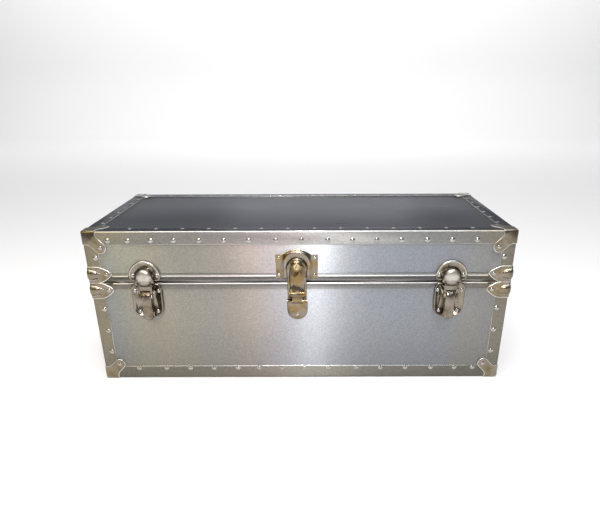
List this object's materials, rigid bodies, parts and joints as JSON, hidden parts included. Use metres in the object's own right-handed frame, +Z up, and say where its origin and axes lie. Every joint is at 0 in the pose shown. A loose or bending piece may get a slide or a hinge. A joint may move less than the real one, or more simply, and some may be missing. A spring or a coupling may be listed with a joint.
{
  "type": "storage trunk",
  "caption": "Flat metal-clad storage trunk with riveted edge bindings, corner caps, draw bolts, a hasp lock, a hinged lid and drop handles.",
  "frame": {"origin": "on the floor, under the middle of the whole trunk's bounding box", "axes": "+X along the length to the right seen from the front, +Y to the back hinges, +Z up"},
  "size_m": [0.8118, 0.386, 0.298],
  "materials": {
    "plywood": "plain sanded",
    "satin_sheet": "satin rolled sheet",
    "bright_binding": "bright rolled sheet",
    "nickel_plate": "polished nickel plate, slightly warm",
    "pin_steel": "drawn wire",
    "plug_brass": "plated brass"
  },
  "bodies": {
    "chest": {"chest_front_panel": "plywood", "chest_back_panel": "plywood", "chest_left_panel": "plywood", "chest_right_panel": "plywood", "chest_bottom_panel": "plywood", "chest_cover_sheet": "satin_sheet", "chest_bottom_binding": "bright_binding", "chest_rim": "bright_binding", "chest_corner_angle_front_left": "bright_binding", "chest_corner_cap_front_left": "nickel_plate", "chest_corner_clamp_front_left": "nickel_plate", "chest_corner_angle_front_right": "bright_binding", "chest_corner_cap_front_right": "nickel_plate", "chest_corner_clamp_front_right": "nickel_plate", "chest_corner_angle_back_left": "bright_binding", "chest_corner_cap_back_left": "nickel_plate", "chest_corner_clamp_back_left": "nickel_plate", "chest_corner_angle_back_right": "bright_binding", "chest_corner_cap_back_right": "nickel_plate", "chest_corner_clamp_back_right": "nickel_plate", "lock_base_plate": "nickel_plate", "draw_bolt_base_left": "nickel_plate", "draw_bolt_base_right": "nickel_plate", "hinge_chest_leaf_left": "nickel_plate", "hinge_chest_leaf_right": "nickel_plate", "hinge_pin_left": "pin_steel", "hinge_pin_right": "pin_steel", "side_handle_plate_left": "nickel_plate", "side_handle_plate_right": "nickel_plate"},
    "lid": {"lid_front_panel": "plywood", "lid_back_panel": "plywood", "lid_left_panel": "plywood", "lid_right_panel": "plywood", "lid_top_panel": "plywood", "lid_cover_sheet": "satin_sheet", "lid_edge_binding": "bright_binding", "lid_rim": "bright_binding", "lid_corner_cap_front_left": "nickel_plate", "lid_corner_clamp_front_left": "nickel_plate", "lid_corner_cap_front_right": "nickel_plate", "lid_corner_clamp_front_right": "nickel_plate", "lid_corner_cap_back_left": "nickel_plate", "lid_corner_clamp_back_left": "nickel_plate", "lid_corner_cap_back_right": "nickel_plate", "lid_corner_clamp_back_right": "nickel_plate", "lock_lid_plate": "nickel_plate", "draw_bolt_keeper_left": "nickel_plate", "draw_bolt_keeper_right": "nickel_plate", "hinge_lid_leaf_left": "nickel_plate", "hinge_lid_leaf_right": "nickel_plate"},
    "hasp": {"lock_hasp": "nickel_plate"},
    "key_plug": {"lock_plug": "plug_brass", "lock_cam": "pin_steel"},
    "draw_bolt_lever_left": {"draw_bolt_lever_left": "nickel_plate"},
    "draw_bolt_link_left": {"draw_bolt_link_left": "nickel_plate"},
    "side_handle_left": {"side_handle_left": "nickel_plate"},
    "draw_bolt_lever_right": {"draw_bolt_lever_right": "nickel_plate"},
    "draw_bolt_link_right": {"draw_bolt_link_right": "nickel_plate"},
    "side_handle_right": {"side_handle_right": "nickel_plate"}
  },
  "joints": [
    {"name": "lid_hinge", "type": "hinge", "parent": "chest", "child": "lid", "pos_m": [0, 0.18985, 0.20015], "axis": [-1, 0, 0], "range_deg": [0, 105]},
    {"name": "hasp_hinge", "type": "hinge", "parent": "chest", "child": "hasp", "pos_m": [-0.006, -0.18475, 0.165], "axis": [1, 0, 0], "range_deg": [0, 150]},
    {"name": "key_plug_turn", "type": "hinge", "parent": "hasp", "child": "key_plug", "pos_m": [-0.006, -0.19025, 0.2325], "axis": [0, -1, 0], "range_deg": [0, 90]},
    {"name": "draw_bolt_lever_left", "type": "hinge", "parent": "chest", "child": "draw_bolt_lever_left", "pos_m": [-0.2885, -0.18595, 0.1835], "axis": [-1, 0, 0], "range_deg": [0, 110]},
    {"name": "draw_bolt_link_left", "type": "hinge", "parent": "draw_bolt_lever_left", "child": "draw_bolt_link_left", "pos_m": [-0.2885, -0.19015, 0.1745], "axis": [1, 0, 0], "range_deg": [0, 127]},
    {"name": "draw_bolt_lever_right", "type": "hinge", "parent": "chest", "child": "draw_bolt_lever_right", "pos_m": [0.2805, -0.18595, 0.1835], "axis": [-1, 0, 0], "range_deg": [0, 110]},
    {"name": "draw_bolt_link_right", "type": "hinge", "parent": "draw_bolt_lever_right", "child": "draw_bolt_link_right", "pos_m": [0.2805, -0.19015, 0.1745], "axis": [1, 0, 0], "range_deg": [0, 127]},
    {"name": "side_handle_left", "type": "hinge", "parent": "chest", "child": "side_handle_left", "pos_m": [-0.4, 0.00285, 0.133], "axis": [0, 1, 0], "range_deg": [0, 115]},
    {"name": "side_handle_right", "type": "hinge", "parent": "chest", "child": "side_handle_right", "pos_m": [0.4, 0.00285, 0.133], "axis": [0, -1, 0], "range_deg": [0, 115]}
  ],
  "couplings": [
    {"joint": "draw_bolt_link_left", "follows": "draw_bolt_lever_left", "ratio": 1.15},
    {"joint": "draw_bolt_link_right", "follows": "draw_bolt_lever_right", "ratio": 1.15}
  ]
}
